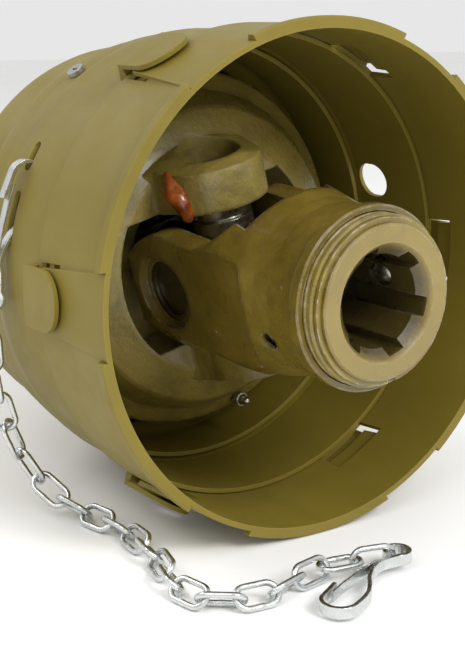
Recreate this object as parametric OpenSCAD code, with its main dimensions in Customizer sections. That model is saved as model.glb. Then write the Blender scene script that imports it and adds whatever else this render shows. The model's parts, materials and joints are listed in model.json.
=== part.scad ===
// Wide-angle drive shaft end: splined quick-release yoke, double cardan joint, guard bell and safety chain.
// Millimetres. The shaft axis is Y, the splined bore opens towards -Y, +Z is up.
// The origin is on the bore axis, in the plane of the three locking balls.

/* [Splined yoke] */
// Minor diameter of the six-groove bore
bore_minor_d = 37.8; // [30:0.1:50]
// Diameter at the groove floors
bore_major_d = 44.4; // [34:0.1:58]
// Width of one bore groove
groove_w = 8; // [4:0.1:12]
// Diameter of the hub's front face
hub_d = 62.5; // [50:0.5:80]
// Distance from the front face back to the locking balls
face_depth = 24; // [18:1:32]
// Diameter of a locking ball
ball_d = 14.28; // [10:0.01:18]
// How far the locking collar pulls back
collar_travel = 5; // [3:0.5:8]

/* [Double cardan joint] */
// Front cross centre, behind the locking balls
cross_y = 80; // [70:1:95]
// Distance from a cross centre to the middle of the double yoke
half_pitch = 48; // [40:1:60]
// Rotation of the joint about its own axis as it stands
roll_deg = 15; // [-45:1:45]
// Outside diameter of a bearing cup
cup_d = 28; // [22:0.5:34]
// Diameter of the double yoke's disc
disc_d = 168; // [140:1:180]
// Needle rollers in one bearing cup
needle_count = 22; // [12:1:22]

/* [Guard bell] */
// Outside diameter of the front sleeve at its rim
rim_d = 210; // [180:1:240]
// Outside diameter over the rim's lip
lip_d = 215.4; // [184:0.2:246]
// Where the rim stands, behind the locking balls
rim_y = 13; // [0:1:30]
// Number of tongues and half-moon plates around the bell
tongue_count = 6; // [3:1:8]
// Outside diameter of the tube behind the bell
tube_d = 74; // [60:1:84]
// Where the guard tube ends
tube_end_y = 396; // [300:1:500]

/* [Safety chain] */
// Wire diameter of a chain link
wire_d = 2.5; // [2:0.1:4]
// Outside length of a link
link_len = 20.5; // [16:0.1:30]
// Outside width of a link
link_w = 11.4; // [9:0.1:16]
// Number of links
link_count = 21; // [4:1:30]

/* [Hidden] */
$fn = 64;
olive = [0.52, 0.46, 0.22];
plastic = [0.56, 0.50, 0.22];
steel = [0.72, 0.73, 0.74];
zinc = [0.78, 0.80, 0.80];
grey = [0.45, 0.45, 0.44];
face_y = -face_depth;
mid_y = cross_y + half_pitch;
rear_y = cross_y + 2 * half_pitch;
hub_r = hub_d / 2;
cup_r = cup_d / 2;
disc_r = disc_d / 2;
rim_r = rim_d / 2;
lip_r = lip_d / 2;
ball_r = ball_d / 2;
ball_seat_r = 24.2;
tube_r = tube_d / 2;
journal_r = 9.5;
needle_r = 1.45;
needle_pitch_r = 11;
pitch_deg = 360 / tongue_count;
strip_w = 4.6;
strip_t = 1.6;
// Chain route: from the guard hook's eye down the side of the bell and along the ground to the end hook.
route = [
  [-111.9, 99.4, -9], [-109.2, 103, -37], [-105.5, 106.3, -54], [-100.5, 107.6, -69], [-95, 106.5, -82],
  [-89.5, 102.5, -92], [-84.5, 95, -99], [-80.3, 84.5, -102.6], [-76.8, 72, -103], [-74.5, 56, -103],
  [-75.5, 38, -103], [-78.5, 22, -103], [-83, 6, -103], [-87, -6, -103], [-87.6, -15, -103],
  [-84, -23, -103], [-77, -28.8, -103], [-68.5, -31.7, -103], [-59, -31.8, -103], [-45, -28.3, -102.4],
  [-34, -26, -101.8], [-24, -26.5, -101.7], [-14, -29, -101.7], [-1.6, -32.4, -101.7], [27, -41.4, -101.7]
];
link_step = link_len - 2 * wire_d - 0.82;
// End hook: where its eye and nose point
end_eye = [1.5, -33.5, -103.8];
end_dir = 203;
end_tilt = 2.5;
// Guard hook: where its eye is, in the plane of the chain slots
guard_eye = [-109, 99.5, -4];
guard_dir = 69.7;

// ---- helpers ----

// The joint stands turned about its own axis.
module rolled() {
  rotate([0, -roll_deg, 0])
    children();
}

// Turns a shape drawn about local Z so that it lies about the shaft axis.
module about_y() {
  rotate([-90, 0, 0])
    children();
}

// Revolves a list of [radius, y] points about the shaft axis.
module turned(points) {
  about_y()
    rotate_extrude($fn = 96)
      polygon(points);
}

// Brings local +X round to an angle about the shaft axis, measured from +X towards +Z.
module at_angle(a) {
  rotate([0, -a, 0])
    children();
}

// Extrudes a flat outline drawn in (y, z) outwards along X from x0 to x1.
module along_x(x0, x1) {
  translate([x0, 0, 0])
    rotate([90, 0, 90])
      linear_extrude(x1 - x0)
        children();
}

// Mirrors about the middle plane of the double yoke.
module rear_side() {
  translate([0, 2 * mid_y, 0])
    mirror([0, 1, 0])
      children();
}

// Puts a shape made along +Z at all four arm directions given: pair 0 is X', pair 1 is Z'.
module pair(axis) {
  for (s = [0, 180])
    rotate(axis == 0 ? [0, 90 + s, 0] : [0, s, 0])
      children();
}

module tube_ring(r_out, r_in, z0, z1) {
  difference() {
    translate([0, 0, z0])
      cylinder(h = z1 - z0, r = r_out);
    translate([0, 0, z0 - 1])
      cylinder(h = z1 - z0 + 2, r = r_in);
  }
}

// ---- yokes ----

// Forged yoke blank: two ears, a rounded crotch and flared shoulders.
module yoke_blank() {
  e = cross_y;
  difference() {
    intersection() {
      translate([0, 0, -60])
        linear_extrude(120)
          difference() {
            polygon([[-39, -16], [39, -16], [39, 18], [33.4, 24], [39.9, e + 21], [-39.9, e + 21],
                     [-33.4, 24], [-39, 18]]);
            translate([-11, 55])
              square([22, 60]);
            translate([-23, 67])
              square([46, 60]);
            for (s = [-1, 1])
              translate([11 * s, 67])
                circle(12);
          }
      along_x(-60, 60)
        union() {
          polygon([[-16, -39], [26, -39], [36, -32], [44, -26], [53, -23.5], [e, -26],
                   [e, 26], [53, 23.5], [44, 26], [36, 32], [26, 39], [-16, 39]]);
          translate([e, 0])
            circle(26);
        }
      turned([[0, -15], [36.9, -15], [37.5, -14.4], [37.5, -9.8], [36.9, -9.2], [36.2, -9], [36.2, 6],
              [37.2, 14], [39.2, 22], [42, 34], [43, 44], [43, e + 22], [0, e + 22]]);
    }
    for (s = [-1, 1])
      along_x(-24, 24)
        translate([75, 61 * s])
          circle(56);
  }
}

// Bearing bores and snap ring grooves of a pair of ears.
module ear_bores(r, z0, ring_z, axis) {
  pair(axis) {
    translate([0, 0, z0])
      cylinder(h = 60, r = r);
    translate([0, 0, ring_z])
      cylinder(h = 1.5, r = r + 1.3);
  }
}

module bore_grooves(r, y0, y1) {
  intersection() {
    turned([[0, y0], [r, y0], [r, y1], [0, y1]]);
    for (k = [0 : 5])
      at_angle(34 + 60 * k)
        translate([0, y0 - 1, -groove_w / 2])
          cube([r + 5, y1 - y0 + 2, groove_w]);
  }
}

module splined_yoke() {
  br = bore_minor_d / 2;
  color(olive)
    rolled()
      difference() {
        union() {
          difference() {
            yoke_blank();
            turned([[0, -17], [35, -17], [35, 16], [0, 16]]);
          }
          turned([[0, face_y], [hub_r - 0.8, face_y], [hub_r, face_y + 0.8], [hub_r, -21.9], [29.5, -21.9],
                  [29.5, -19.9], [hub_r, -19.9], [hub_r, 20], [0, 20]]);
        }
        turned([[0, face_y - 1], [br, face_y - 1], [br, 22], [23, 22], [23, 28], [10, 28], [10, 70], [0, 70]]);
        turned([[0, face_y - 1], [24.8, face_y - 1], [br - 0.5, face_y + 5.4], [0, face_y + 5.4]]);
        bore_grooves(bore_major_d / 2, face_y - 1, 22);
        for (k = [0 : 2])
          at_angle(4 + 120 * k)
            rotate([0, 90, 0]) {
              translate([0, 0, 19.2])
                cylinder(h = 14, r = ball_r + 0.1);
              cylinder(h = 20, r = 5.3);
            }
        at_angle(-166)
          translate([0, 9.5, 0])
            rotate([0, 90, 0])
              translate([0, 0, 33])
                cylinder(h = 30, r = 4);
        translate([0, cross_y, 0]) {
          ear_bores(cup_r + 0.02, 15, 33.5, 0);
          pair(0)
            translate([0, 0, 35.6])
              cylinder(h = 20, r = 17);
        }
        for (s = [-1, 1])
          translate([30.5 * s, 95.6, 0])
            about_y()
              cylinder(h = 10, r = 2.52);
      }
}

// Locking sleeve: slides into the yoke and lets the balls out over its inner ramp.
module lock_collar() {
  color(olive)
    rolled()
      turned([[31.4, -19.7], [33.9, -19.7], [34.6, -19], [34.6, -17.4], [34.1, -17], [34.1, -16.2],
              [34.6, -15.8], [34.6, 5.6], [34.2, 6], [31.4, 6], [31.4, 1.9], [33.4, -2],
              [33.4, -13.2], [31.4, -13.2]]);
}

// Round-wire coil about the shaft axis.
function coil_pt(a, y0, y1, turns, r) = [r * cos(a), y0 + (y1 - y0) * a / (360 * turns), r * sin(a)];

module collar_spring() {
  turns = 2.2;
  steps = 52;
  sides = 8;
  wire_r = 0.7;
  y0 = 7;
  y1 = 15.1;
  pts = [for (i = [0 : steps], j = [0 : sides - 1])
    let (a = 360 * turns * i / steps, b = 360 * j / sides)
      coil_pt(a, y0, y1, turns, 33.1 + wire_r * cos(b)) + [0, wire_r * sin(b), 0]];
  walls = [for (i = [0 : steps - 1], j = [0 : sides - 1])
    [i * sides + j, i * sides + (j + 1) % sides, (i + 1) * sides + (j + 1) % sides, (i + 1) * sides + j]];
  first = [[for (j = [0 : sides - 1]) sides - 1 - j]];
  last = [[for (j = [0 : sides - 1]) steps * sides + j]];
  color(steel)
    polyhedron(points = pts, faces = concat(walls, first, last), convexity = 6);
}

module collar_retaining_ring() {
  color(olive)
    rolled()
      difference() {
        turned([[29.6, -21.7], [33.4, -21.7], [33.4, -20.1], [29.6, -20.1]]);
        at_angle(-95)
          translate([20, -25, -2])
            cube([20, 20, 4]);
      }
}

module locking_ball(k) {
  color(steel)
    rolled()
      at_angle(4 + 120 * k)
        translate([ball_seat_r, 0, 0])
          sphere(ball_r);
}

module locking_ball_1() {
  locking_ball(0);
}

module locking_ball_2() {
  locking_ball(1);
}

module locking_ball_3() {
  locking_ball(2);
}

// ---- crosses and their bearings (made at the origin, then placed) ----

module cross_body() {
  difference() {
    union() {
      intersection() {
        cube([27, 23, 27], center = true);
        rotate([0, 45, 0])
          cube([33, 30, 33], center = true);
      }
      pair(0) {
        cylinder(h = 15.4, r = 11);
        cylinder(h = 31.6, r = journal_r);
      }
      pair(1) {
        cylinder(h = 30.9, r = 11);
        cylinder(h = 41.2, r = journal_r);
      }
    }
    rotate([0, 135, 0])
      rotate([45, 0, 0])
        cylinder(h = 30, r = 2.5);
  }
}

module cross_seals() {
  pair(0)
    tube_ring(13.4, journal_r + 0.05, 15.6, 17.4);
  pair(1) {
    tube_ring(13.4, 11.05, 18.4, 23.6);
    tube_ring(13.4, 11.05, 25, 30.7);
  }
}

module cross_nipple() {
  rotate([0, 135, 0])
    rotate([45, 0, 0]) {
      translate([0, 0, 12])
        cylinder(h = 9.5, r = 2.48);
      translate([0, 0, 20.4])
        cylinder(h = 2.6, r = 3.6);
      translate([0, 0, 22.9])
        cylinder(h = 2.8, r1 = 3, r2 = 1.9, $fn = 32);
      translate([0, 0, 26.3])
        sphere(2.3);
    }
}

module cups(z0, z1, axis) {
  pair(axis)
    difference() {
      translate([0, 0, z0])
        cylinder(h = z1 - z0, r = cup_r);
      translate([0, 0, z0 - 1])
        cylinder(h = z1 - z0 - 0.6, r = needle_pitch_r + needle_r + 0.05);
    }
}

module circlips(z0, axis) {
  pair(axis)
    difference() {
      translate([0, 0, z0])
        cylinder(h = 1.2, r = cup_r + 1.1);
      translate([0, 0, z0 - 1])
        cylinder(h = 4, r = 11.4);
      translate([-2.5, -20, z0 - 1])
        cube([5, 20, 4]);
      for (s = [-1, 1])
        translate([4.6 * s, -12.6, z0 - 1])
          cylinder(h = 4, r = 0.8, $fn = 24);
    }
}

module needles(z0, z1, axis) {
  pair(axis)
    for (k = [0 : needle_count - 1])
      rotate([0, 0, 360 * k / needle_count])
        translate([needle_pitch_r, 0, z0])
          cylinder(h = z1 - z0, r = needle_r, $fn = 16);
}

module at_front_cross() {
  rolled()
    translate([0, cross_y, 0])
      children();
}

module at_rear_cross() {
  rolled()
    rear_side()
      translate([0, cross_y, 0])
        children();
}

module front_cross() {
  color(steel)
    at_front_cross()
      cross_body();
}

module front_cross_seals() {
  color(steel)
    at_front_cross()
      cross_seals();
}

module cross_nipple_front() {
  color(steel)
    at_front_cross()
      cross_nipple();
}

module yoke_cups_front() {
  color(grey)
    at_front_cross()
      cups(17.6, 33.4, 0);
}

module yoke_circlips_front() {
  color(grey)
    at_front_cross()
      circlips(33.6, 0);
}

module housing_cups_front() {
  color(grey)
    at_front_cross()
      cups(31.2, 43, 1);
}

module housing_circlips_front() {
  color(grey)
    at_front_cross()
      circlips(43.2, 1);
}

module all_needles() {
  needles(18, 31.4, 0);
  needles(31.4, 41, 1);
}

module needle_rollers_front() {
  color(steel)
    at_front_cross()
      all_needles();
}

module rear_cross() {
  color(steel)
    at_rear_cross()
      cross_body();
}

module rear_cross_seals() {
  color(steel)
    at_rear_cross()
      cross_seals();
}

module cross_nipple_rear() {
  color(steel)
    at_rear_cross()
      cross_nipple();
}

module yoke_cups_rear() {
  color(grey)
    at_rear_cross()
      cups(17.6, 33.4, 0);
}

module yoke_circlips_rear() {
  color(grey)
    at_rear_cross()
      circlips(33.6, 0);
}

module housing_cups_rear() {
  color(grey)
    at_rear_cross()
      cups(31.2, 43, 1);
}

module housing_circlips_rear() {
  color(grey)
    at_rear_cross()
      circlips(43.2, 1);
}

module needle_rollers_rear() {
  color(steel)
    at_rear_cross()
      all_needles();
}

// ---- double yoke and centring ----

// One side's two ears, standing forward from the drum.
module housing_ears() {
  e = cross_y;
  intersection() {
    union()
      for (s = [0, 1])
        mirror([0, 0, s])
          translate([0, 0, 31])
            linear_extrude(31) {
              translate([0, e])
                circle(22.5);
              polygon([[-22.5, e], [22.5, e], [25, e + 9], [33, e + 19], [33, e + 34],
                       [-33, e + 34], [-33, e + 19], [-25, e + 9]]);
            }
    turned([[0, e - 30], [45, e - 30], [49, e - 22], [51.4, e - 16], [57.4, e + 16], [57.4, e + 34], [0, e + 34]]);
  }
}

module cavity() {
  intersection() {
    turned([[0, 60], [52, 60], [52, mid_y - 10], [0, mid_y - 10]]);
    translate([-60, 50, -31])
      cube([120, 100, 62]);
  }
}

module double_yoke() {
  m = mid_y;
  color(olive)
    rolled()
      difference() {
        union() {
          turned([[0, m - 37.5], [51, m - 37.5], [53, m - 37], [67.5, m - 30.2], [69, m - 28.6],
                  [75.4, m - 16.8], [77, m - 15.6], [82.6, m - 12], [84, m - 10], [84, m + 10],
                  [82.6, m + 12], [77, m + 15.6], [75.4, m + 16.8], [69, m + 28.6], [67.5, m + 30.2],
                  [53, m + 37], [51, m + 37.5], [0, m + 37.5]]);
          housing_ears();
          rear_side()
            housing_ears();
        }
        cavity();
        rear_side()
          cavity();
        turned([[0, m - 20], [30, m - 20], [30, m + 20], [0, m + 20]]);
        translate([0, cross_y, 0])
          ear_bores(cup_r + 0.02, 28, 43.1, 1);
        rear_side()
          translate([0, cross_y, 0])
            ear_bores(cup_r + 0.02, 28, 43.1, 1);
        at_angle(-86)
          translate([disc_r - 4.5, m - 20, 0])
            about_y()
              cylinder(h = 16, r = 2.6);
      }
}

module housing_grease_nipple() {
  color(steel)
    rolled()
      at_angle(-86)
        translate([disc_r - 4.5, mid_y - 5, 0])
          rotate([90, 0, 0]) {
            cylinder(h = 13, r = 2.56);
            translate([0, 0, 11.9])
              cylinder(h = 3, r = 3.4);
            translate([0, 0, 14.8])
              cylinder(h = 2.6, r1 = 2.8, r2 = 1.8, $fn = 32);
            translate([0, 0, 18])
              sphere(2.2);
          }
}

module bridge_bar() {
  difference() {
    translate([-34, 101.2, -8])
      cube([68, 6.8, 16]);
    for (s = [-1, 1])
      translate([30.5 * s, 100, 0])
        about_y()
          cylinder(h = 20, r = 2.6);
  }
}

module bridge_screws() {
  for (s = [-1, 1])
    translate([30.5 * s, 96, 0])
      about_y()
        difference() {
          union() {
            cylinder(h = 13, r = 2.5);
            translate([0, 0, 12.1])
              cylinder(h = 4, r = 4.2);
          }
          translate([0, 0, 13.6])
            cylinder(h = 4, r = 2.3, $fn = 6);
        }
}

module front_guide_bridge() {
  color(grey)
    rolled() {
      bridge_bar();
      turned([[0, 106], [13, 106], [13, mid_y + 2], [12, mid_y + 3], [10.4, mid_y + 3], [9.6, mid_y + 2.2],
              [9.6, 113], [0, 113]]);
    }
}

module front_bridge_screws() {
  color(steel)
    rolled()
      bridge_screws();
}

module rear_guide_bridge() {
  color(grey)
    rolled() {
      rear_side()
        bridge_bar();
      turned([[0, mid_y + 4], [5, mid_y + 4], [5, mid_y + 21], [9, mid_y + 25], [0, mid_y + 25]]);
      translate([0, mid_y, 0])
        sphere(9);
    }
}

module rear_bridge_screws() {
  color(steel)
    rolled()
      rear_side()
        bridge_screws();
}

// ---- inner yoke and profile tube ----

// Three-lobed section; s grows or shrinks it.
module trilobe(s) {
  circle(16.5 + s);
  for (k = [0 : 2])
    rotate(30 + 120 * k)
      translate([14, 0])
        circle(7.5 + s);
}

module trilobe_bar(s, y0, y1) {
  translate([0, y0, 0])
    about_y()
      linear_extrude(y1 - y0)
        trilobe(s);
}

module inner_yoke() {
  h = 2 * mid_y;
  color(olive)
    rolled()
      difference() {
        union() {
          rear_side()
            difference() {
              yoke_blank();
              turned([[0, -20], [50, -20], [50, 18], [39.3, 18], [33, 12], [0, 12]]);
            }
          turned([[0, h - 50], [32, h - 50], [32, h - 12], [29.5, h - 6], [29.5, h + 0.5], [27, h + 0.5],
                  [27, h + 9.5], [29.5, h + 9.5], [29.5, h + 19], [28.5, h + 20], [0, h + 20]]);
        }
        trilobe_bar(0.04, 190, h + 21);
        translate([0, rear_y, 0])
          ear_bores(cup_r + 0.02, 15, 33.5, 0);
        for (s = [-1, 1])
          translate([30.5 * s, h - 105.6, 0])
            about_y()
              cylinder(h = 10, r = 2.52);
        translate([0, h - 17, 0])
          cylinder(h = 90, r = 4.02, center = true);
      }
}

module roll_pin() {
  color(steel)
    rolled()
      translate([0, 2 * mid_y - 17, 0])
        difference() {
          cylinder(h = 62, r = 4, center = true);
          cylinder(h = 64, r = 2.4, center = true);
          translate([0, -0.5, -40])
            cube([10, 1, 80]);
        }
}

module profile_tube() {
  color(steel)
    rolled()
      difference() {
        trilobe_bar(0, 214, 426);
        trilobe_bar(-3.5, 200, 430);
        translate([0, 2 * mid_y - 17, 0])
          cylinder(h = 90, r = 4.02, center = true);
      }
}

// ---- guard ----

// Outline of a tongue in (y, z): wide at the rim, narrower behind.
module tongue_outline(grow, y0, y1) {
  a = rim_r * sin(9.15) + grow;
  b = rim_r * sin(6.6) + grow;
  polygon([[y0, -a], [y1, -b], [y1, b], [y0, a]]);
}

module guard_front_sleeve() {
  y0 = rim_y;
  color(plastic) {
    difference() {
      turned([[rim_r - 2.1, y0], [rim_r, y0], [rim_r, y0 + 52.4], [rim_r - 0.6, y0 + 53], [rim_r - 2.1, y0 + 53]]);
      for (k = [0 : tongue_count - 1])
        at_angle(pitch_deg * k)
          along_x(80, 120)
            polygon([[y0 + 35, -14.6], [y0 + 50, -13.6], [y0 + 50, 13.6], [y0 + 35, 14.6]]);
    }
    difference() {
      turned([[rim_r - 1, y0], [lip_r - 0.4, y0], [lip_r, y0 + 0.5], [lip_r, y0 + 3.6], [rim_r + 0.4, y0 + 5.2],
              [rim_r - 1, y0 + 5.8]]);
      for (k = [0 : tongue_count - 1])
        at_angle(pitch_deg * k)
          along_x(80, 120)
            polygon([[y0 - 1, -17.1], [y0 + 9, -17.1], [y0 + 9, 17.1], [y0 - 1, 17.1]]);
    }
    for (k = [0 : tongue_count - 1])
      at_angle(pitch_deg * k)
        intersection() {
          turned([[rim_r - 1, y0], [rim_r + 0.3, y0], [rim_r + 2.6, y0 + 46], [rim_r + 0.5, y0 + 46]]);
          along_x(80, 120)
            polygon([[y0 - 1, -16.7], [y0 + 46, -12.2], [y0 + 46, 12.2], [y0 - 1, 16.7]]);
        }
  }
}

// Half-moon outline in (y, z): straight behind, round in front.
module half_moon(y0, y1, r) {
  translate([y0 + r, 0])
    circle(r);
  translate([y0 + r, -r + 0.1])
    square([y1 - y0 - r, 2 * r - 0.2]);
}

module slot_cut(a0, a1, y0, w) {
  ca = (a0 + a1) / 2;
  for (a = [a0, a1])
    at_angle(a)
      translate([80, y0, 0])
        rotate([0, 90, 0])
          cylinder(h = 40, r = w / 2, $fn = 32);
  translate([0, y0 - w / 2 + 0.15, 0])
    about_y()
      linear_extrude(w - 0.3)
        polygon([[0, 0], [130 * cos(a0), -130 * sin(a0)], [132 * cos(ca), -132 * sin(ca)],
                 [130 * cos(a1), -130 * sin(a1)]]);
}

module guard_middle_sleeve() {
  y0 = rim_y;
  color(plastic)
    difference() {
      union() {
        turned([[rim_r - 4.7, y0 + 48.4], [rim_r - 2.7, y0 + 48.4], [rim_r - 2.7, y0 + 93],
                [rim_r - 3.1, y0 + 97], [rim_r - 4.1, y0 + 100.5], [rim_r - 4.8, y0 + 102.5],
                [rim_r - 4.8, y0 + 111], [rim_r - 6.8, y0 + 111], [rim_r - 6.8, y0 + 101.5],
                [rim_r - 5.7, y0 + 98], [rim_r - 4.7, y0 + 94.4]]);
        for (k = [0 : tongue_count - 1])
          at_angle(pitch_deg * k) {
            intersection() {
              turned([[rim_r + 3.2, y0], [rim_r + 5.2, y0], [rim_r + 5.2, y0 + 55.5], [rim_r + 3.2, y0 + 55.5]]);
              along_x(80, 120)
                half_moon(y0 + 29, y0 + 55.5, 12.5);
            }
            intersection() {
              turned([[rim_r - 3.4, y0 + 53.4], [rim_r + 5.2, y0 + 53.4], [rim_r + 5.2, y0 + 55.5],
                      [rim_r - 3.4, y0 + 60]]);
              along_x(80, 120)
                translate([y0 + 40, -12])
                  square([25, 24]);
            }
          }
      }
      slot_cut(147.6, 152.2, y0 + 86.5, 5.2);
      slot_cut(160, 170.4, y0 + 86.5, 5.2);
      at_angle(17)
        along_x(80, 120)
          translate([y0 + 82.1, 0]) {
            circle(8.5);
            translate([2.5, 0])
              circle(8.5);
            translate([0, -8.3])
              square([2.5, 16.6]);
          }
      for (k = [0 : 2])
        at_angle(3.6 + 120 * k)
          translate([80, y0 + 107, 0])
            rotate([0, 90, 0])
              cylinder(h = 40, r = 2.1);
    }
}

module guard_base_cone() {
  y0 = rim_y;
  color(plastic)
    difference() {
      turned([[rim_r - 9, y0 + 94.6], [rim_r - 7, y0 + 94.6], [rim_r - 7, y0 + 125], [rim_r - 7.8, y0 + 129],
              [rim_r - 9.6, y0 + 133], [rim_r - 11.5, y0 + 137], [rim_r - 11.5, y0 + 157],
              [rim_r - 12.7, y0 + 162], [rim_r - 17, y0 + 169], [62, 222], [44, 246], [39.4, 254],
              [39.4, 285], [tube_r + 0.1, 285], [tube_r + 0.1, 253], [42, 244.5], [60, 220.5],
              [rim_r - 18.8, y0 + 168], [rim_r - 14.7, y0 + 161], [rim_r - 13.5, y0 + 157],
              [rim_r - 13.5, y0 + 135], [rim_r - 11.6, y0 + 131.6], [rim_r - 9.7, y0 + 127.8],
              [rim_r - 9, y0 + 125]]);
      for (k = [0 : 2])
        at_angle(3.6 + 120 * k)
          translate([80, y0 + 107, 0])
            rotate([0, 90, 0])
              cylinder(h = 40, r = 2.02);
    }
}

module guard_screws() {
  color(grey)
    for (k = [0 : 2])
      at_angle(3.6 + 120 * k)
        translate([0, rim_y + 107, 0])
          rotate([0, 90, 0])
            difference() {
              union() {
                translate([0, 0, 94.6])
                  cylinder(h = 7, r = 2);
                translate([0, 0, 100.3])
                  cylinder(h = 2.1, r = 3.9);
              }
              for (a = [0, 90])
                rotate([0, 0, a])
                  translate([-2.4, -0.6, 101.2])
                    cube([4.8, 1.2, 4]);
            }
}

module guard_bearing_ring() {
  h = 2 * mid_y;
  color([0.9, 0.88, 0.8])
    turned([[27.08, h + 1], [tube_r - 2.25, h + 1], [tube_r - 2.25, h + 9], [27.08, h + 9]]);
}

module guard_tube() {
  color(plastic)
    turned([[tube_r - 2.2, 256], [tube_r, 256], [tube_r, tube_end_y], [tube_r - 2.2, tube_end_y]]);
}

// ---- hooks and chain ----

// Sideways direction at point i of a path, stretched so that the strip keeps its thickness at a bend.
function unit(v) = v / norm(v);
function side(p, i) =
  let (a = unit(p[max(i, 1)] - p[max(i, 1) - 1]), b = unit(p[min(i, len(p) - 2) + 1] - p[min(i, len(p) - 2)]),
       m = unit(a + b))
    [-m[1], m[0]] / (m * a);

// Flat strip bent along a list of [u, v] points, seen from its edge.
module strip(p, t) {
  n = len(p);
  polygon(concat([for (i = [0 : n - 1]) p[i] + side(p, i) * t / 2],
                 [for (i = [n - 1 : -1 : 0]) p[i] - side(p, i) * t / 2]));
}

// Spring hook body: rolled eye at the origin, nose towards +u.
function hook_path(e) = concat(
  [for (a = [10 : 15 : 325]) 5.1 * [cos(a), sin(a)] - [e, 0]],
  [[8, -0.8], [11, 0.8], [14.5, 1.6], [20, 1.2], [27, -1], [33, -4.2], [38, -6.2], [43, -7], [47, -7.1]],
  [for (a = [-80 : 10 : 80]) [49.5 + 7 * cos(a), 7 * sin(a)]],
  [[47, 7.2], [43, 7.5], [38.5, 7.9]]
);

module hook_body(e) {
  linear_extrude(strip_w)
    strip(hook_path(e), strip_t);
}

module hook_tongue() {
  translate([0, 0, 0.2])
    linear_extrude(strip_w - 0.4)
      strip([[12, 2.95], [18, 3.6], [28, 4.8], [38, 5.4], [45.5, 5.2]], 0.8);
}

module place_end_hook() {
  translate(end_eye)
    rotate([0, 0, end_dir])
      rotate([0, end_tilt, 0])
        mirror([0, 1, 0])
          children();
}

module place_guard_hook() {
  translate(guard_eye)
    translate([0, strip_w / 2, 0])
      rotate([90, 0, 0])
        rotate([0, 0, guard_dir])
          children();
}

module guard_hook() {
  color(zinc)
    place_guard_hook()
      hook_body(3);
}

module guard_hook_tongue() {
  color(zinc)
    place_guard_hook()
      hook_tongue();
}

module end_hook() {
  color(zinc)
    place_end_hook()
      hook_body(0);
}

module end_hook_tongue() {
  color(zinc)
    place_end_hook()
      hook_tongue();
}

// Point a distance s along the route, starting at leg i.
function along(s, i = 0) =
  let (d = route[i + 1] - route[i], n = norm(d))
    (s <= n || i >= len(route) - 2) ? route[i] + d * s / n : along(s - n, i + 1);

function link_roll(i) = (i % 2 == 1 ? 45 : -45) + 22.5 * max(0, min(2, i - (link_count - 4)));

module half_ring() {
  rc = (link_w - wire_d) / 2;
  rotate([90, 0, 0])
    rotate_extrude(angle = 180, $fn = 32)
      translate([rc, 0])
        circle(wire_d / 2, $fn = 16);
}

// One welded link, its long side along local Z.
module chain_link() {
  rc = (link_w - wire_d) / 2;
  hs = (link_len - link_w) / 2;
  for (s = [-1, 1])
    translate([rc * s, 0, -hs])
      cylinder(h = 2 * hs, r = wire_d / 2, $fn = 16);
  translate([0, 0, hs])
    half_ring();
  translate([0, 0, -hs])
    rotate([180, 0, 0])
      half_ring();
}

module chain_links() {
  color(zinc)
    for (i = [0 : link_count - 1])
      let (a = along(i * link_step), b = along((i + 1) * link_step), d = b - a)
        translate((a + b) / 2)
          rotate([0, acos(d[2] / norm(d)), atan2(d[1], d[0])])
            rotate([0, 0, link_roll(i)])
              chain_link();
}

splined_yoke();
lock_collar();
collar_spring();
collar_retaining_ring();
locking_ball_1();
locking_ball_2();
locking_ball_3();
front_cross();
front_cross_seals();
cross_nipple_front();
yoke_cups_front();
yoke_circlips_front();
housing_cups_front();
housing_circlips_front();
needle_rollers_front();
front_guide_bridge();
front_bridge_screws();
double_yoke();
housing_grease_nipple();
rear_guide_bridge();
rear_bridge_screws();
rear_cross();
rear_cross_seals();
cross_nipple_rear();
yoke_cups_rear();
yoke_circlips_rear();
housing_cups_rear();
housing_circlips_rear();
needle_rollers_rear();
inner_yoke();
roll_pin();
profile_tube();
guard_front_sleeve();
guard_middle_sleeve();
guard_base_cone();
guard_screws();
guard_bearing_ring();
guard_tube();
guard_hook();
guard_hook_tongue();
chain_links();
end_hook();
end_hook_tongue();
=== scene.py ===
import json
import math

import bpy
import numpy as np
from mathutils import Matrix, Vector


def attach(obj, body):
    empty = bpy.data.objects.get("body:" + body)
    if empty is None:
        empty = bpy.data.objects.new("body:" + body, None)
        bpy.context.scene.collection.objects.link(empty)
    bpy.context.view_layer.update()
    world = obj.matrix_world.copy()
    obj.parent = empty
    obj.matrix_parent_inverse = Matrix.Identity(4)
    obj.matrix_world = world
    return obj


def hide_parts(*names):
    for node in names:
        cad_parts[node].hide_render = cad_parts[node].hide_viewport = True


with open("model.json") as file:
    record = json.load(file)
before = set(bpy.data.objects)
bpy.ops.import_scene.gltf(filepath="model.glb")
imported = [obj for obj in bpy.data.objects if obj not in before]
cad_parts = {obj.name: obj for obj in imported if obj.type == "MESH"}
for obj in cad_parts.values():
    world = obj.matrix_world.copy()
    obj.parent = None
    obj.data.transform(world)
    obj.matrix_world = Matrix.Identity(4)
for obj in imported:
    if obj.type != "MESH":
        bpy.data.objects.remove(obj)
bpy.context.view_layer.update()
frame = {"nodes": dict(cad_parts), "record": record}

FLOOR = -0.1077  # metres; the bell's lowest lip stands on it
FLOOR_GAP = 0.0002

# The picture in pixels, the focal length, and the point where the view axis meets it.
IMAGE_W, IMAGE_H = 465, 645
FOCAL = 1300.0
CENTRE_X, CENTRE_Y = 205.0, 372.0
SENSOR = 36.0


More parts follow.
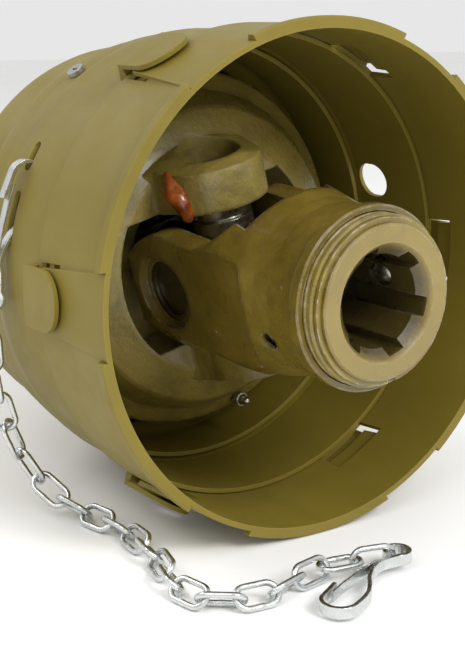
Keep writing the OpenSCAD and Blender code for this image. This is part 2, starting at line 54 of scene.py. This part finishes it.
# ---------------------------------------------------------------- camera
def make_camera():
    pos = Vector((-0.33339, -0.39283, 0.10657))
    fwd = Vector((0.53864, 0.80053, -0.26272)).normalized()
    right = Vector((0.82967, -0.55825, 0.0)).normalized()
    up = right.cross(fwd).normalized()
    cam = bpy.data.cameras.new("photo_camera")
    ob = bpy.data.objects.new("photo_camera", cam)
    bpy.context.scene.collection.objects.link(ob)
    rot = Matrix((right, up, -fwd)).transposed()
    ob.matrix_world = Matrix.Translation(pos) @ rot.to_4x4()
    cam.sensor_width = SENSOR
    cam.sensor_fit = "AUTO"
    cam.lens = FOCAL * SENSOR / IMAGE_H
    cam.shift_x = (IMAGE_W / 2 - CENTRE_X) / IMAGE_H
    cam.shift_y = (CENTRE_Y - IMAGE_H / 2) / IMAGE_H
    cam.clip_start = 0.02
    cam.clip_end = 20.0
    cam.dof.use_dof = False
    bpy.context.scene.camera = ob


make_camera()


# ---------------------------------------------------------------- mesh helpers
def add_object(name, verts, faces):
    """A smooth-shaded mesh object in the scene."""
    me = bpy.data.meshes.new(name)
    me.from_pydata([tuple(v) for v in verts], [], faces)
    me.update()
    me.polygons.foreach_set("use_smooth", [True] * len(me.polygons))
    ob = bpy.data.objects.new(name, me)
    bpy.context.scene.collection.objects.link(ob)
    return ob


def sweep(points, radius, sides, closed):
    """Vertices and faces of a tube along a list of points (numpy)."""
    pts = np.array(points, float)
    n = len(pts)
    if closed:
        tang = np.roll(pts, -1, 0) - np.roll(pts, 1, 0)
    else:
        tang = np.gradient(pts, axis=0)
    tang /= np.linalg.norm(tang, axis=1)[:, None]
    normal = np.cross(tang[0], [0.31, 0.83, 0.46])
    normal /= np.linalg.norm(normal)
    verts, faces = [], []
    for i in range(n):
        normal = normal - tang[i] * (normal @ tang[i])
        normal /= np.linalg.norm(normal)
        side = np.cross(tang[i], normal)
        for j in range(sides):
            a = 2 * math.pi * j / sides
            verts.append(pts[i] + radius * (math.cos(a) * normal + math.sin(a) * side))
    rings = n if closed else n - 1
    # a closed tube's last ring joins its first at the turn that twists it least
    offset = 0
    if closed:
        last = verts[(n - 1) * sides:]
        best = 1e9
        for k in range(sides):
            d = sum(np.linalg.norm(last[(j + k) % sides] - verts[j]) for j in range(sides))
            if d < best:
                best, offset = d, k
    for i in range(rings):
        nxt = (i + 1) % n
        off = offset if (closed and nxt == 0) else 0
        for j in range(sides):
            a = i * sides + (j + off) % sides
            b = i * sides + (j + 1 + off) % sides
            faces.append((a, b, nxt * sides + (j + 1) % sides, nxt * sides + j))
    if not closed:
        faces.append(tuple(reversed(range(sides))))
        faces.append(tuple(range((n - 1) * sides, n * sides)))
    return verts, faces


# ---------------------------------------------------------------- materials
class Nodes:
    """A small helper around a material's node tree."""

    def __init__(self, name):
        self.mat = bpy.data.materials.new(name)
        self.mat.use_nodes = True
        self.tree = self.mat.node_tree
        self.tree.nodes.clear()
        self.out = self.tree.nodes.new("ShaderNodeOutputMaterial")
        self.bsdf = self.tree.nodes.new("ShaderNodeBsdfPrincipled")
        self.link(self.bsdf.outputs[0], self.out.inputs["Surface"])
        self.coord = self.tree.nodes.new("ShaderNodeTexCoord").outputs["Object"]

    def link(self, a, b):
        self.tree.links.new(a, b)

    def noise(self, scale, detail=4.0, rough=0.55, vector=None, distortion=0.0):
        n = self.tree.nodes.new("ShaderNodeTexNoise")
        n.inputs["Scale"].default_value = scale
        n.inputs["Detail"].default_value = detail
        n.inputs["Roughness"].default_value = rough
        n.inputs["Distortion"].default_value = distortion
        self.link(vector or self.coord, n.inputs["Vector"])
        return n.outputs[0]

    def stretch(self, scale, rot=(0, 0, 0)):
        n = self.tree.nodes.new("ShaderNodeMapping")
        n.inputs["Scale"].default_value = scale
        n.inputs["Rotation"].default_value = rot
        self.link(self.coord, n.inputs["Vector"])
        return n.outputs[0]

    def ramp(self, fac, stops):
        n = self.tree.nodes.new("ShaderNodeValToRGB")
        e = n.color_ramp.elements
        while len(e) > 1:
            e.remove(e[-1])
        e[0].position = stops[0][0]
        e[0].color = self.rgba(stops[0][1])
        for p, c in stops[1:]:
            x = e.new(p)
            x.color = self.rgba(c)
        self.link(fac, n.inputs["Fac"])
        return n.outputs["Color"]

    @staticmethod
    def rgba(c):
        if isinstance(c, (int, float)):
            return (c, c, c, 1.0)
        return (c[0], c[1], c[2], 1.0)

    def math(self, op, a, b=None, c=None, clamp=False):
        n = self.tree.nodes.new("ShaderNodeMath")
        n.operation = op
        n.use_clamp = clamp
        for i, v in enumerate((a, b, c)):
            if v is None:
                continue
            if isinstance(v, (int, float)):
                n.inputs[i].default_value = v
            else:
                self.link(v, n.inputs[i])
        return n.outputs[0]

    def mix(self, fac, a, b, mode="MIX"):
        n = self.tree.nodes.new("ShaderNodeMix")
        n.data_type = "RGBA"
        n.blend_type = mode
        for key, v in (("Factor", fac), ("A", a), ("B", b)):
            sock = next(s for s in n.inputs
                        if s.name == key and (s.type == "RGBA" or key == "Factor") and s.enabled)
            if isinstance(v, (int, float)) and key == "Factor":
                sock.default_value = v
            elif isinstance(v, (tuple, list, int, float)):
                sock.default_value = self.rgba(v)
            else:
                self.link(v, sock)
        return next(s for s in n.outputs if s.type == "RGBA")

    def edges(self, radius, low, high):
        """White along convex and concave edges, black on flats."""
        bev = self.tree.nodes.new("ShaderNodeBevel")
        bev.samples = 6
        bev.inputs["Radius"].default_value = radius
        geo = self.tree.nodes.new("ShaderNodeNewGeometry")
        dot = self.tree.nodes.new("ShaderNodeVectorMath")
        dot.operation = "DOT_PRODUCT"
        self.link(bev.outputs[0], dot.inputs[0])
        self.link(geo.outputs["Normal"], dot.inputs[1])
        return self.ramp(self.math("SUBTRACT", 1.0, dot.outputs["Value"]), [(low, 0.0), (high, 1.0)])

    def axes(self):
        n = self.tree.nodes.new("ShaderNodeSeparateXYZ")
        self.link(self.coord, n.inputs[0])
        return n.outputs

    def step(self, value, low, high):
        """0 below low, 1 above high, smooth between."""
        n = self.tree.nodes.new("ShaderNodeMapRange")
        n.interpolation_type = "SMOOTHSTEP"
        n.inputs["From Min"].default_value = low
        n.inputs["From Max"].default_value = high
        self.link(value, n.inputs["Value"])
        return n.outputs["Result"]

    def bump(self, height, strength, distance, bevel=None):
        n = self.tree.nodes.new("ShaderNodeBump")
        n.inputs["Strength"].default_value = strength
        n.inputs["Distance"].default_value = distance
        self.link(height, n.inputs["Height"])
        if bevel:
            b = self.tree.nodes.new("ShaderNodeBevel")
            b.samples = 4
            if isinstance(bevel, float):
                b.inputs["Radius"].default_value = bevel
            else:
                self.link(bevel, b.inputs["Radius"])
            self.link(b.outputs[0], n.inputs["Normal"])
        self.link(n.outputs[0], self.bsdf.inputs["Normal"])

    def set(self, **values):
        names = {"color": "Base Color", "rough": "Roughness", "metal": "Metallic", "coat": "Coat Weight",
                 "coat_rough": "Coat Roughness", "sss": "Subsurface Weight", "spec": "Specular IOR Level"}
        for k, v in values.items():
            s = self.bsdf.inputs[names[k]]
            if isinstance(v, (int, float)):
                s.default_value = v
            elif isinstance(v, tuple):
                s.default_value = self.rgba(v)
            else:
                self.link(v, s)


def srgb(r, g, b):
    """A colour of 0 to 255 per channel as the linear one a shader takes."""
    def linear(c):
        return c / 12.92 if c <= 0.04045 else ((c + 0.055) / 1.055) ** 2.4
    return tuple(linear(v / 255.0) for v in (r, g, b))


# The splined yoke's hub, in metres: where the bore's wall starts (radius and y), its front face, and its end.
# Each pair is where a change of colour (painted shade in the bore, a painted highlight on the front face) or
# edge radius starts and ends.
BORE_R = (0.0228, 0.0240)
BORE_Y = (-0.0236, -0.0200)
HUB_FACE_Y = (-0.0238, -0.0226)
HUB_END_Y = (-0.0088, 0.004)


def olive_paint(name, base, dark, light, cast, wear, soft=0.0010, bored=False):
    """Glossy olive enamel over a casting: cast is the surface roughness, wear how much is rubbed off edges.

    soft is the radius of the cast edges; bored paints shade into the oily spline bore, paints a highlight on
    the hub's front face and keeps the hub crisp.
    """
    m = Nodes(name)
    broad = m.noise(26, 4, 0.6)
    col = m.ramp(broad, [(0.30, dark), (0.52, base), (0.75, light)])
    fine = m.noise(420, 5, 0.7)
    speck = m.ramp(fine, [(0.60, 0.0), (0.74, 1.0)])
    col = m.mix(m.math("MULTIPLY", speck, 0.35), col, tuple(v * 0.45 for v in base))
    grime = m.ramp(m.noise(60, 6, 0.65, distortion=0.6), [(0.52, 0.0), (0.72, 1.0)])
    col = m.mix(m.math("MULTIPLY", grime, 0.45), col, (0.035, 0.028, 0.012))
    edge = m.edges(0.0011, 0.02, 0.16)
    broken = m.ramp(m.noise(180, 5, 0.75), [(0.46, 0.0), (0.60, 1.0)])
    worn = m.math("MULTIPLY", m.math("MULTIPLY", edge, broken), wear)
    chips = m.ramp(m.noise(75, 6, 0.8), [(0.685, 0.0), (0.70, 1.0)])
    worn = m.math("MAXIMUM", worn, m.math("MULTIPLY", chips, min(1.0, wear)), clamp=True)
    col = m.mix(worn, col, srgb(190, 182, 160))
    if bored:
        x, y, z = m.axes()
        r = m.math("SQRT", m.math("ADD", m.math("MULTIPLY", x, x), m.math("MULTIPLY", z, z)))
        # painted shade: the spline bore's recess darkened to near black
        bore_shade = m.math("SUBTRACT", 1.0, m.step(r, *BORE_R))
        bore_shade = m.math("MULTIPLY", bore_shade, m.step(y, *BORE_Y))
        col = m.mix(m.math("MULTIPLY", bore_shade, 0.72), col, (0.020, 0.016, 0.007))
        # painted highlight: the hub's front face lightened where the key light falls
        face_highlight = m.math("SUBTRACT", 1.0, m.step(y, *HUB_FACE_Y))
        col = m.mix(m.math("MULTIPLY", face_highlight, 0.38), col, srgb(160, 142, 80))
        soft = m.math("ADD", 0.0005, m.math("MULTIPLY", m.step(y, *HUB_END_Y), soft))
    m.set(color=col)
    rough = m.ramp(m.noise(90, 3, 0.6), [(0.3, 0.22), (0.7, 0.42)])
    m.set(rough=m.mix(worn, rough, 0.5), coat=0.35, coat_rough=0.16)
    h = m.math("ADD", m.math("MULTIPLY", m.noise(330, 5, 0.7), cast),
               m.math("MULTIPLY", m.noise(70, 3, 0.5), cast * 1.5))
    m.bump(h, 0.5, 0.0012, bevel=soft)
    return m.mat


def guard_plastic():
    m = Nodes("guard_plastic")
    col = m.ramp(m.noise(9, 3, 0.55), [(0.3, srgb(112, 98, 30)), (0.7, srgb(124, 109, 38))])
    flow = m.ramp(m.noise(1.0, 4, 0.6, m.stretch((60, 14, 60))), [(0.45, 0.0), (0.75, 1.0)])
    col = m.mix(m.math("MULTIPLY", flow, 0.20), col, srgb(92, 79, 24))
    dust = m.ramp(m.noise(30, 7, 0.75, distortion=0.8), [(0.56, 0.0), (0.80, 1.0)])
    col = m.mix(m.math("MULTIPLY", dust, 0.22), col, srgb(138, 128, 76))
    scuff = m.ramp(m.noise(1.0, 6, 0.8, m.stretch((520, 60, 520))), [(0.64, 0.0), (0.72, 1.0)])
    col = m.mix(m.math("MULTIPLY", scuff, 0.16), col, srgb(156, 142, 76))
    edge = m.edges(0.0012, 0.03, 0.30)
    col = m.mix(m.math("MULTIPLY", edge, 0.45), col, srgb(160, 142, 56))
    m.set(color=col, rough=m.ramp(m.noise(55, 4, 0.6), [(0.3, 0.42), (0.7, 0.58)]), spec=0.34)
    h = m.math("ADD", m.math("MULTIPLY", m.noise(900, 3, 0.6), 0.25),
               m.math("MULTIPLY", m.noise(1.0, 4, 0.6, m.stretch((300, 30, 300))), 0.25))
    m.bump(h, 0.25, 0.0006, bevel=0.0006)
    return m.mat


def metal(name, color, rough0, rough1, lines=(40, 900, 40), tint=None, tint_amount=0.0, bump=0.12):
    m = Nodes(name)
    streak = m.noise(1.0, 4, 0.6, m.stretch(lines))
    cloud = m.noise(70, 5, 0.65)
    col = m.mix(m.ramp(cloud, [(0.35, 0.0), (0.7, 1.0)]), color, tuple(c * 0.78 for c in color))
    if tint:
        t = m.ramp(m.noise(120, 6, 0.75), [(0.48, 0.0), (0.68, 1.0)])
        col = m.mix(m.math("MULTIPLY", t, tint_amount), col, tint)
    m.set(color=col, metal=1.0, rough=m.ramp(streak, [(0.3, rough0), (0.7, rough1)]))
    m.bump(m.math("ADD", streak, m.noise(260, 4, 0.6)), bump, 0.0004, bevel=0.0005)
    return m.mat


PAINT = olive_paint("olive_paint", srgb(112, 94, 34), srgb(88, 72, 22), srgb(128, 111, 45), 0.5, 0.85,
                    soft=0.0028, bored=True)
PAINT_CAST = olive_paint("olive_paint_cast", srgb(132, 116, 54), srgb(106, 92, 38), srgb(150, 134, 68),
                         1.0, 0.75, soft=0.0022)
PAINT_WORN = olive_paint("olive_paint_worn", srgb(132, 114, 46), srgb(104, 88, 30), srgb(156, 138, 68),
                         0.3, 1.0)
PLASTIC = guard_plastic()
ZINC = metal("zinc_plate", (0.72, 0.74, 0.73), 0.16, 0.36, (300, 300, 300), (0.42, 0.44, 0.42), 0.4, 0.10)
BARE = metal("bare_steel", (0.60, 0.58, 0.53), 0.20, 0.42, (60, 60, 700), (0.20, 0.17, 0.09), 0.35)
SEAL = metal("seal_ring", (0.70, 0.66, 0.55), 0.22, 0.40, (200, 200, 200), (0.30, 0.25, 0.10), 0.6)
DARK = metal("dark_steel", (0.20, 0.18, 0.13), 0.34, 0.55, (200, 200, 200), (0.10, 0.08, 0.03), 0.6)
SPRING = metal("spring_steel", (0.34, 0.34, 0.34), 0.25, 0.4)
SCREW = metal("grey_screw", (0.42, 0.42, 0.40), 0.32, 0.5, (500, 500, 500))


def nylon():
    m = Nodes("bearing_plastic")
    col = m.ramp(m.noise(40, 4, 0.6), [(0.3, srgb(214, 208, 186)), (0.7, srgb(228, 222, 202))])
    m.set(color=col, rough=0.45, sss=0.1)
    m.bump(m.noise(500, 3, 0.5), 0.15, 0.0004)
    return m.mat


NYLON = nylon()

slot_material = {
    "olive_paint": PAINT, "bare_steel": BARE, "spring_steel": SPRING, "seal_ring": SEAL, "dark_steel": DARK,
    "guard_plastic": PLASTIC, "bearing_plastic": NYLON, "grey_screw": SCREW, "zinc_plate": ZINC,
}
node_material = {
    "double_yoke": PAINT_CAST, "lock_collar": PAINT_WORN, "collar_retaining_ring": PAINT_WORN,
    "inner_yoke": PAINT_CAST,
}
slot_of = {s["node"]: s["material_slot"] for s in frame["record"]["subparts"]}
for name, ob in frame["nodes"].items():
    mat = node_material.get(name, slot_material[slot_of[name]])
    if not ob.material_slots:
        ob.data.materials.append(mat)
    for s in ob.material_slots:
        s.link = "OBJECT"
        s.material = mat


# ---------------------------------------------------------------- chain
# Millimetres. ROUTE is the chain's centre line, from the guard hook down and over the floor to the end hook.
ROUTE = [
    (-111.9, 99.4, -9), (-109.2, 103, -37), (-105.5, 106.3, -54), (-100.5, 107.6, -69), (-95, 106.5, -82),
    (-89.5, 102.5, -92), (-84.5, 95, -99), (-80.3, 84.5, -102.6), (-76.8, 72, -103), (-74.5, 56, -103),
    (-75.5, 38, -103), (-78.5, 22, -103), (-83, 6, -103), (-87, -6, -103), (-87.6, -15, -103),
    (-84, -23, -103), (-77, -28.8, -103), (-68.5, -31.7, -103), (-59, -31.8, -103), (-45, -28.3, -102.4),
    (-34, -26, -101.8), (-24, -26.5, -101.7), (-14, -29, -101.7), (-1.6, -32.4, -101.7), (27, -41.4, -101.7),
]
LINKS = 21
WIRE = 2.5
LINK_L, LINK_W = 20.5, 11.4
SLACK = 0.82  # how much closer the links lie than in a taut chain
STEP = LINK_L - 2 * WIRE - SLACK
ARC = 16
LINK_SIDES = 14
PATH_POINTS = 43


def along(s):
    """The point of the route at distance s from its start."""
    pts = [Vector(p) for p in ROUTE]
    for i in range(len(pts) - 1):
        d = pts[i + 1] - pts[i]
        if s <= d.length or i == len(pts) - 2:
            return pts[i] + d * (s / d.length)
        s -= d.length


def link_loop():
    """Centre line of one link, and the index where its welded side starts."""
    rc = (LINK_W - WIRE) / 2
    hs = (LINK_L - LINK_W) / 2
    loop = []
    for k in range(ARC + 1):
        a = math.pi * k / ARC
        loop.append((rc * math.cos(a), 0, hs + rc * math.sin(a)))
    for t in (0.6, 0.2, -0.2, -0.6):
        loop.append((-rc, 0, hs * t))
    for k in range(ARC + 1):
        a = math.pi + math.pi * k / ARC
        loop.append((rc * math.cos(a), 0, -hs + rc * math.sin(a)))
    weld = len(loop)
    for t in (-0.7, -0.35, -0.15, 0.0, 0.15, 0.35, 0.7):
        loop.append((rc, 0, hs * t))
    return loop, weld


def chain():
    verts, faces = [], []
    loop, weld = link_loop()
    for i in range(LINKS):
        a, b = along(i * STEP), along((i + 1) * STEP)
        d = b - a
        roll = (45 if i % 2 else -45) + 22.5 * max(0, min(2, i - (LINKS - 4)))
        m = (Matrix.Translation((a + b) / 2) @ Matrix.Rotation(math.atan2(d.y, d.x), 4, "Z")
             @ Matrix.Rotation(math.acos(d.z / d.length), 4, "Y")
             @ Matrix.Rotation(math.radians(roll), 4, "Z"))
        v, f = sweep(loop, WIRE / 2, LINK_SIDES, True)
        # the butt weld: a slightly swollen collar of metal on one side
        for idx in range(len(v)):
            ring = idx // LINK_SIDES
            if weld + 1 <= ring <= weld + 5:
                c = np.array(loop[ring])
                grow = (1.0, 1.07, 1.10, 1.05, 1.0)[ring - weld - 1]
                v[idx] = c + (v[idx] - c) * grow
        base = len(verts)
        verts += [tuple((m @ Vector(p)) * 0.001) for p in v]
        faces += [tuple(base + q for q in t) for t in f]
    ob = add_object("safety_chain", verts, faces)
    ob.data.materials.append(ZINC)
    return ob


chain_ob = chain()
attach(chain_ob, "guard")
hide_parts("chain_links")
total = LINKS * STEP
path = [tuple(along(total * i / (PATH_POINTS - 1)) * 0.001) for i in range(PATH_POINTS)]


# ---------------------------------------------------------------- orange grease on the upper ear
# Centre line in mm and half width of the drip, from the top of the ear down to its hanging tip.
GREASE_RINGS, GREASE_SIDES = 41, 20
GREASE = [
    (-34.6, 81.6, 42.0, 1.6), (-34.3, 79.6, 40.0, 2.6), (-33.9, 78.1, 37.6, 3.8), (-33.2, 76.8, 35.0, 4.9),
    (-32.2, 75.2, 32.4, 5.0), (-31.2, 73.6, 29.6, 4.4), (-30.2, 72.4, 27.0, 3.4), (-29.4, 71.9, 24.4, 2.6),
    (-28.8, 71.9, 22.2, 1.3),
]


def grease():
    keys = np.array(GREASE)
    t = np.linspace(0, len(keys) - 1, GREASE_RINGS)
    line = np.stack([np.interp(t, range(len(keys)), keys[:, k]) for k in range(4)], 1)
    for _ in range(3):
        line[1:-1] = (line[:-2] + 2 * line[1:-1] + line[2:]) / 4
    tube, faces = sweep(line[:, :3] * 0.001, 1.0, GREASE_SIDES, False)
    verts = []
    for k, v in enumerate(tube):
        ring = k // GREASE_SIDES
        centre = line[ring, :3] * 0.001
        away = v - centre
        a = 2 * math.pi * (k % GREASE_SIDES) / GREASE_SIDES
        lump = 1 + 0.12 * math.sin(2 * a + ring * 0.22) + 0.06 * math.sin(3 * a - ring * 0.31)
        verts.append(centre + away / np.linalg.norm(away) * line[ring, 3] * 0.001 * lump)
    ob = add_object("grease_drip", verts, faces)
    m = Nodes("orange_grease")
    col = m.ramp(m.noise(240, 4, 0.6), [(0.35, srgb(112, 48, 10)), (0.65, srgb(158, 84, 34))])
    m.set(color=col, rough=0.20, coat=0.6, coat_rough=0.08, sss=0.2)
    m.bump(m.noise(380, 4, 0.6), 0.5, 0.0008)
    ob.data.materials.append(m.mat)
    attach(ob, "double_yoke")


grease()


# ---------------------------------------------------------------- light and floor
def stage():
    me = bpy.data.meshes.new("floor")
    s = 6.0
    me.from_pydata([(-s, -s, 0), (s, -s, 0), (s, s, 0), (-s, s, 0)], [], [(0, 1, 2, 3)])
    fl = bpy.data.objects.new("floor", me)
    fl.location = (0, 0, FLOOR - FLOOR_GAP)
    bpy.context.scene.collection.objects.link(fl)
    m = Nodes("floor")
    pale = m.ramp(m.noise(3, 2, 0.5), [(0.3, (0.90, 0.90, 0.89)), (0.7, (0.93, 0.93, 0.92))])
    m.set(color=pale, rough=0.85)
    me.materials.append(m.mat)
    world = bpy.data.worlds.new("studio")
    world.use_nodes = True
    bg = world.node_tree.nodes["Background"]
    bg.inputs[0].default_value = (1.0, 1.0, 1.0, 1.0)
    bg.inputs[1].default_value = 0.80
    bpy.context.scene.world = world

    def area(name, loc, target, size, power):
        li = bpy.data.lights.new(name, "AREA")
        li.shape = "RECTANGLE"
        li.size, li.size_y = size
        li.energy = power
        ob = bpy.data.objects.new(name, li)
        ob.location = loc
        d = Vector(target) - Vector(loc)
        ob.rotation_euler = d.to_track_quat("-Z", "Y").to_euler()
        bpy.context.scene.collection.objects.link(ob)

    area("key", (0.10, -1.25, 1.0), (0, 0.05, 0), (0.6, 0.6), 17)
    area("fill", (-0.9, -0.5, 1.1), (0, 0.05, 0), (0.8, 0.8), 5)
    area("rim", (-0.7, 0.9, 1.0), (0, 0.1, 0), (0.8, 0.5), 5)


stage()
bpy.context.scene.view_settings.view_transform = "Standard"
